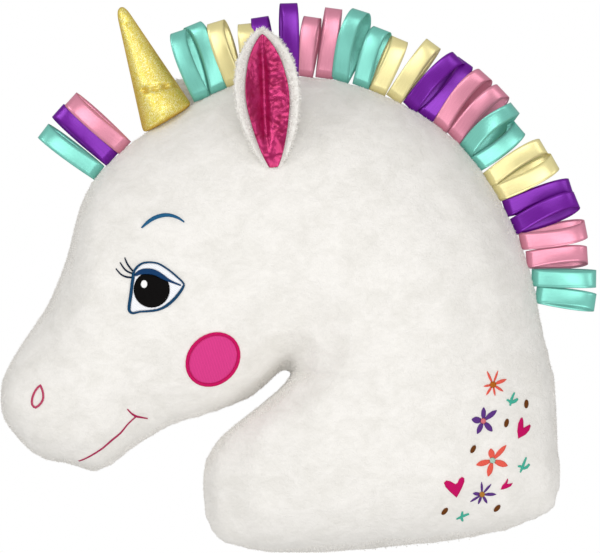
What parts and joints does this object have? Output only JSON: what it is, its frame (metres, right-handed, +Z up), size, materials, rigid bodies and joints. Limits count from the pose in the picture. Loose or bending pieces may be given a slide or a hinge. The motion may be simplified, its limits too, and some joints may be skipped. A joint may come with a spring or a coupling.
{
  "type": "plush unicorn cushion",
  "caption": "Stuffed white plush unicorn head cushion in profile, with a glitter horn, lined ears, a satin ribbon-loop mane and embroidered face and flowers.",
  "frame": {"origin": "middle of the flat underside that the cushion lies on", "axes": "+X from the muzzle to the back of the neck, +Y from the bottom edge to the crown, +Z up out of the left side"},
  "size_m": [0.3996, 0.3697, 0.1101],
  "materials": {
    "plush_white": "short white plush, soft mottled pile",
    "polyester_fill": "loose polyester filling",
    "closing_thread": "white sewing thread",
    "glitter_gold": "gold glitter fabric, sparkling",
    "ear_satin": "shiny magenta stretch satin, creased",
    "ribbon_teal": "teal satin ribbon",
    "ribbon_yellow": "pale yellow satin ribbon",
    "ribbon_purple": "purple satin ribbon",
    "ribbon_pink": "rose pink satin ribbon",
    "thread_white": "white embroidery thread",
    "thread_black": "black embroidery thread",
    "thread_blue": "blue embroidery thread",
    "thread_navy": "navy embroidery thread",
    "thread_magenta": "magenta embroidery thread, cheek",
    "thread_deep_pink": "deep pink embroidery thread",
    "thread_rose": "rose embroidery thread, nostril and mouth",
    "thread_coral": "coral embroidery thread",
    "thread_violet": "violet embroidery thread",
    "thread_orange": "orange embroidery thread",
    "thread_mint": "mint embroidery thread",
    "thread_brown": "brown embroidery thread"
  },
  "bodies": {
    "cushion": {"left_panel": "plush_white", "right_panel": "plush_white", "filling": "polyester_fill", "closing_stitches": "closing_thread", "left_eye_white": "thread_white", "left_eye_pupil": "thread_black", "left_eye_glint": "thread_white", "left_eye_shade": "thread_blue", "left_eye_outline": "thread_blue", "left_eyelashes": "thread_navy", "left_eyebrow": "thread_blue", "left_cheek_patch": "thread_magenta", "left_cheek_border": "thread_deep_pink", "left_nostril": "thread_rose", "left_mouth": "thread_rose", "left_coral_petals": "thread_coral", "left_purple_petals": "thread_violet", "left_flower_centres": "thread_orange", "left_neck_hearts": "thread_deep_pink", "left_neck_sprigs": "thread_mint", "left_neck_seeds": "thread_brown", "right_eye_white": "thread_white", "right_eye_pupil": "thread_black", "right_eye_glint": "thread_white", "right_eye_shade": "thread_blue", "right_eye_outline": "thread_blue", "right_eyelashes": "thread_navy", "right_eyebrow": "thread_blue", "right_cheek_patch": "thread_magenta", "right_cheek_border": "thread_deep_pink", "right_nostril": "thread_rose", "right_mouth": "thread_rose", "right_coral_petals": "thread_coral", "right_purple_petals": "thread_violet", "right_flower_centres": "thread_orange", "right_neck_hearts": "thread_deep_pink", "right_neck_sprigs": "thread_mint", "right_neck_seeds": "thread_brown"},
    "horn": {"horn_cover": "glitter_gold", "horn_filling": "polyester_fill"},
    "left_ear": {"left_ear_back": "plush_white", "left_ear_lining": "ear_satin"},
    "right_ear": {"right_ear_back": "plush_white", "right_ear_lining": "ear_satin"},
    "forelock_pink_loop": {"forelock_pink": "ribbon_pink"},
    "forelock_purple_loop": {"forelock_purple": "ribbon_purple"},
    "forelock_teal_loop": {"forelock_teal": "ribbon_teal"},
    "mane_1_teal_loops": {"mane_1_teal": "ribbon_teal"},
    "mane_2_yellow_loops": {"mane_2_yellow": "ribbon_yellow"},
    "mane_3_purple_loops": {"mane_3_purple": "ribbon_purple"},
    "mane_4_pink_loops": {"mane_4_pink": "ribbon_pink"},
    "mane_5_teal_loops": {"mane_5_teal": "ribbon_teal"},
    "mane_6_yellow_loops": {"mane_6_yellow": "ribbon_yellow"},
    "mane_7_purple_loops": {"mane_7_purple": "ribbon_purple"},
    "mane_8_pink_loops": {"mane_8_pink": "ribbon_pink"},
    "mane_9_teal_loops": {"mane_9_teal": "ribbon_teal"},
    "mane_10_yellow_loops": {"mane_10_yellow": "ribbon_yellow"},
    "mane_11_purple_loops": {"mane_11_purple": "ribbon_purple"},
    "mane_12_pink_loops": {"mane_12_pink": "ribbon_pink"},
    "mane_13_teal_loops": {"mane_13_teal": "ribbon_teal"}
  },
  "joints": [
    {"name": "left_ear_fold", "type": "hinge", "parent": "cushion", "child": "left_ear", "pos_m": [-0.0786, 0.10562, 0.10066], "axis": [0.9962, 0.0872, 0], "range_deg": [0, 75], "stiffness_Nm_per_rad": 0.04},
    {"name": "right_ear_fold", "type": "hinge", "parent": "cushion", "child": "right_ear", "pos_m": [-0.0786, 0.10562, 0.00334], "axis": [-0.6293, -0.7771, 0], "range_deg": [0, 75], "stiffness_Nm_per_rad": 0.04},
    {"name": "horn_tilt", "type": "hinge", "parent": "cushion", "child": "horn", "pos_m": [-0.14907, 0.14086, 0.052], "axis": [0.8607, 0.509, 0], "range_deg": [-20, 20], "stiffness_Nm_per_rad": 0.1},
    {"name": "forelock_pink_swing", "type": "hinge", "parent": "cushion", "child": "forelock_pink_loop", "pos_m": [-0.17924, 0.12134, 0.052], "axis": [0.7681, 0.6404, 0], "range_deg": [-45, 45], "stiffness_Nm_per_rad": 0.0024},
    {"name": "forelock_purple_swing", "type": "hinge", "parent": "cushion", "child": "forelock_purple_loop", "pos_m": [-0.18828, 0.11327, 0.052], "axis": [0.724, 0.6898, 0], "range_deg": [-45, 45], "stiffness_Nm_per_rad": 0.0024},
    {"name": "forelock_teal_swing", "type": "hinge", "parent": "cushion", "child": "forelock_teal_loop", "pos_m": [-0.19674, 0.10452, 0.052], "axis": [0.6511, 0.759, 0], "range_deg": [-45, 45], "stiffness_Nm_per_rad": 0.0024},
    {"name": "mane_1_teal_swing", "type": "hinge", "parent": "cushion", "child": "mane_1_teal_loops", "pos_m": [-0.12208, 0.15687, 0.052], "axis": [0.8994, 0.437, 0], "range_deg": [-45, 45], "stiffness_Nm_per_rad": 0.0024},
    {"name": "mane_2_yellow_swing", "type": "hinge", "parent": "cushion", "child": "mane_2_yellow_loops", "pos_m": [-0.09931, 0.16541, 0.052], "axis": [0.9692, 0.2464, 0], "range_deg": [-45, 45], "stiffness_Nm_per_rad": 0.0024},
    {"name": "mane_3_purple_swing", "type": "hinge", "parent": "cushion", "child": "mane_3_purple_loops", "pos_m": [-0.0753, 0.169, 0.052], "axis": [0.9983, 0.0583, 0], "range_deg": [-45, 45], "stiffness_Nm_per_rad": 0.0024},
    {"name": "mane_4_pink_swing", "type": "hinge", "parent": "cushion", "child": "mane_4_pink_loops", "pos_m": [-0.05107, 0.16876, 0.052], "axis": [0.9953, -0.0968, 0], "range_deg": [-45, 45], "stiffness_Nm_per_rad": 0.0024},
    {"name": "mane_5_teal_swing", "type": "hinge", "parent": "cushion", "child": "mane_5_teal_loops", "pos_m": [-0.02722, 0.16445, 0.052], "axis": [0.961, -0.2767, 0], "range_deg": [-45, 45], "stiffness_Nm_per_rad": 0.0024},
    {"name": "mane_6_yellow_swing", "type": "hinge", "parent": "cushion", "child": "mane_6_yellow_loops", "pos_m": [-0.00438, 0.15642, 0.052], "axis": [0.9117, -0.4109, 0], "range_deg": [-45, 45], "stiffness_Nm_per_rad": 0.0024},
    {"name": "mane_7_purple_swing", "type": "hinge", "parent": "cushion", "child": "mane_7_purple_loops", "pos_m": [0.01719, 0.14543, 0.052], "axis": [0.8424, -0.5389, 0], "range_deg": [-45, 45], "stiffness_Nm_per_rad": 0.0024},
    {"name": "mane_8_pink_swing", "type": "hinge", "parent": "cushion", "child": "mane_8_pink_loops", "pos_m": [0.03712, 0.13166, 0.052], "axis": [0.75, -0.6614, 0], "range_deg": [-45, 45], "stiffness_Nm_per_rad": 0.0024},
    {"name": "mane_9_teal_swing", "type": "hinge", "parent": "cushion", "child": "mane_9_teal_loops", "pos_m": [0.05433, 0.11454, 0.052], "axis": [0.5837, -0.812, 0], "range_deg": [-45, 45], "stiffness_Nm_per_rad": 0.0024},
    {"name": "mane_10_yellow_swing", "type": "hinge", "parent": "cushion", "child": "mane_10_yellow_loops", "pos_m": [0.06839, 0.0948, 0.052], "axis": [0.4499, -0.8931, 0], "range_deg": [-45, 45], "stiffness_Nm_per_rad": 0.0024},
    {"name": "mane_11_purple_swing", "type": "hinge", "parent": "cushion", "child": "mane_11_purple_loops", "pos_m": [0.08047, 0.07382, 0.052], "axis": [0.3368, -0.9416, 0], "range_deg": [-45, 45], "stiffness_Nm_per_rad": 0.0024},
    {"name": "mane_12_pink_swing", "type": "hinge", "parent": "cushion", "child": "mane_12_pink_loops", "pos_m": [0.08982, 0.05145, 0.052], "axis": [0.1964, -0.9805, 0], "range_deg": [-45, 45], "stiffness_Nm_per_rad": 0.0024},
    {"name": "mane_13_teal_swing", "type": "hinge", "parent": "cushion", "child": "mane_13_teal_loops", "pos_m": [0.09692, 0.02831, 0.052], "axis": [0.0713, -0.9975, 0], "range_deg": [-45, 45], "stiffness_Nm_per_rad": 0.0024}
  ]
}
